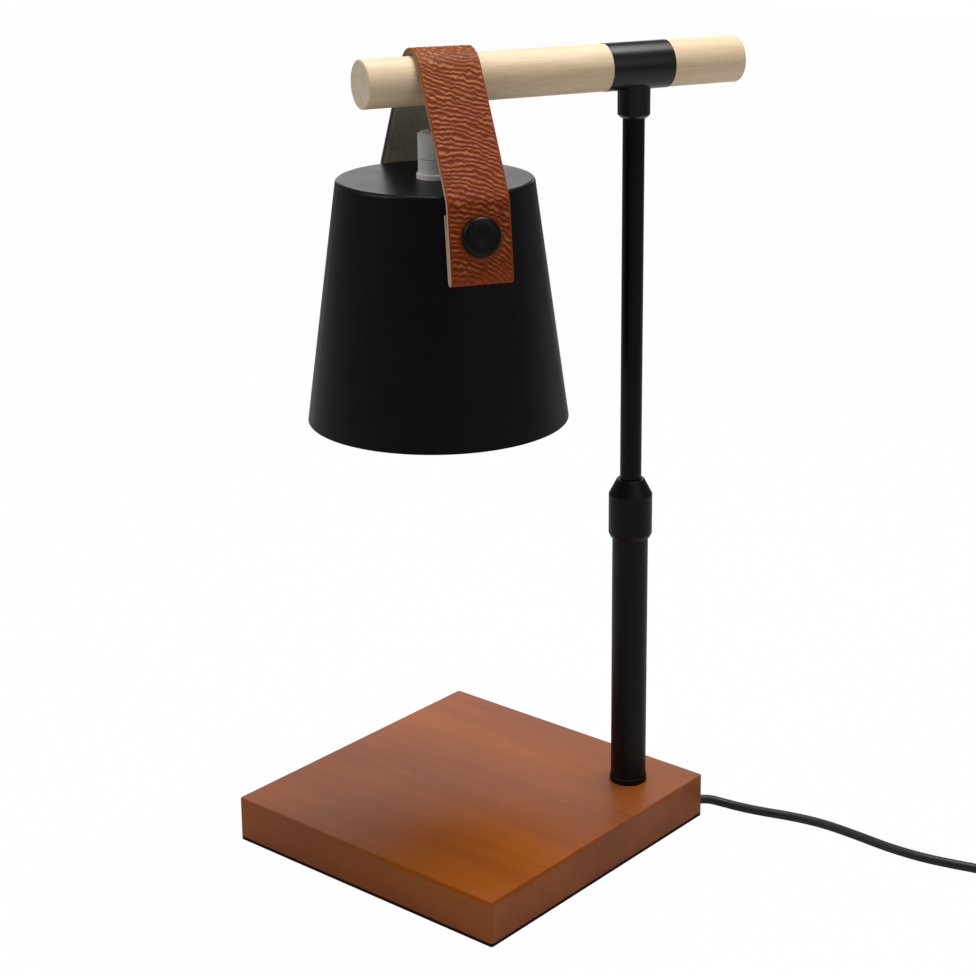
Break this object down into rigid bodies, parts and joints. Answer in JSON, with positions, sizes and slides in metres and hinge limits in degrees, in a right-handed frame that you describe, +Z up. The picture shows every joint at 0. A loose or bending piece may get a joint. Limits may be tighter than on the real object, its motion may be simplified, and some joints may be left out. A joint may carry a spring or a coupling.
{
  "type": "candle warmer lamp",
  "caption": "Table lamp that melts a scented candle from above: square wooden base, telescopic black post, wooden arm and a black cone shade hung in a leather strap.",
  "frame": {"origin": "centre of the square base's underside, on the table", "axes": "+Z up; X and Y along the sides of the base, with the post near its +X +Y corner"},
  "size_m": [0.4081, 0.1982, 0.3628],
  "materials": {
    "base_wood": "warm brown oiled hardwood, fine open grain, satin",
    "rod_wood": "pale beech, fine straight grain, satin lacquer",
    "pad_foam": "black foam rubber, matt",
    "weight_iron": "raw cast plate",
    "screw_steel": "zinc plated steel",
    "black_paint": "black powder coat, fine grain, semi matt",
    "black_satin": "black satin paint",
    "shade_paint": "black powder coat, fine grain, matt",
    "nylon_white": "natural nylon",
    "strap_leather": "tan pebbled leather, dark flesh side, pale cut edge",
    "button_black": "black domed snap cap, matt",
    "grip_nylon": "translucent natural nylon",
    "bracket_zinc": "zinc plated strip",
    "socket_ceramic": "white steatite",
    "bulb_mirror": "aluminised glass reflector",
    "bulb_glass": "clear glass",
    "cord_black": "black PVC sheath, semi matt",
    "relief_rubber": "black PVC",
    "dimmer_plastic": "black fine-textured ABS",
    "control_board": "control and board",
    "wheel_plastic": "black grooved thumb wheel",
    "plug_rubber": "black moulded PVC",
    "blade_brass": "plated brass"
  },
  "bodies": {
    "base": {"base_block": "base_wood", "foot_pad": "pad_foam", "weight_plate": "weight_iron", "weight_screws": "screw_steel", "foot_ring": "black_paint", "lower_tube": "black_paint", "post_stud": "screw_steel", "post_washer": "screw_steel", "post_nut": "screw_steel", "collet": "nylon_white", "base_lead": "cord_black", "post_lead": "cord_black", "strain_relief": "relief_rubber", "supply_cord_front": "cord_black", "supply_cord_rear": "cord_black", "supply_cord_coil": "cord_black", "supply_cord_tail": "cord_black", "dimmer_lower_case": "dimmer_plastic", "dimmer_upper_case": "dimmer_plastic", "dimmer_screws": "screw_steel", "dimmer_control": "control_board", "plug_body": "plug_rubber", "plug_blades": "blade_brass"},
    "collar": {"height_collar": "black_paint"},
    "slider": {"guide_bush": "nylon_white"},
    "arm": {"upper_tube": "black_paint", "tube_end_ring": "screw_steel", "arm_tee": "black_satin", "tee_set_screw": "screw_steel", "rod_screws": "screw_steel", "long_rod": "rod_wood", "short_rod": "rod_wood", "arm_lead": "cord_black"},
    "shade": {"shade_shell": "shade_paint", "strap": "strap_leather", "strap_buttons": "button_black", "button_nuts": "screw_steel", "cord_grip_body": "grip_nylon", "cord_grip_cap": "grip_nylon", "grip_nut": "screw_steel", "socket_bracket": "bracket_zinc", "socket_screws": "screw_steel", "lamp_socket": "socket_ceramic", "drop_lead": "cord_black"},
    "bulb": {"bulb_reflector": "bulb_mirror", "bulb_lens": "bulb_glass", "bulb_base": "socket_ceramic", "bulb_pins": "screw_steel", "bulb_capsule": "bulb_glass"},
    "wheel": {"dimmer_wheel": "wheel_plastic"}
  },
  "joints": [
    {"name": "post_slide", "type": "slide", "parent": "base", "child": "slider", "axis": [0, 0, 1], "range_m": [-0.065, 0.035], "deforming": ["post_lead"]},
    {"name": "collar_turn", "type": "hinge", "parent": "base", "child": "collar", "pos_m": [0.0505, 0.0505, 0.1525], "axis": [0, 0, 1], "range_deg": [0, 180]},
    {"name": "post_swivel", "type": "hinge", "parent": "slider", "child": "arm", "pos_m": [0.0505, 0.0505, 0.105], "axis": [0, 0, 1], "range_deg": [-140, 140]},
    {"name": "shade_swing", "type": "hinge", "parent": "arm", "child": "shade", "pos_m": [0.01292, -0.03391, 0.3496], "axis": [-0.4067, -0.9135, 0], "range_deg": [-15, 15]},
    {"name": "bulb_twist", "type": "hinge", "parent": "shade", "child": "bulb", "pos_m": [0.01292, -0.03391, 0.2815], "axis": [0, 0, 1], "range_deg": [0, 30]},
    {"name": "dimmer_turn", "type": "hinge", "parent": "base", "child": "wheel", "pos_m": [0.26246, 0.0517, 0.0116], "axis": [0, 0, 1], "range_deg": [0, 270]}
  ]
}
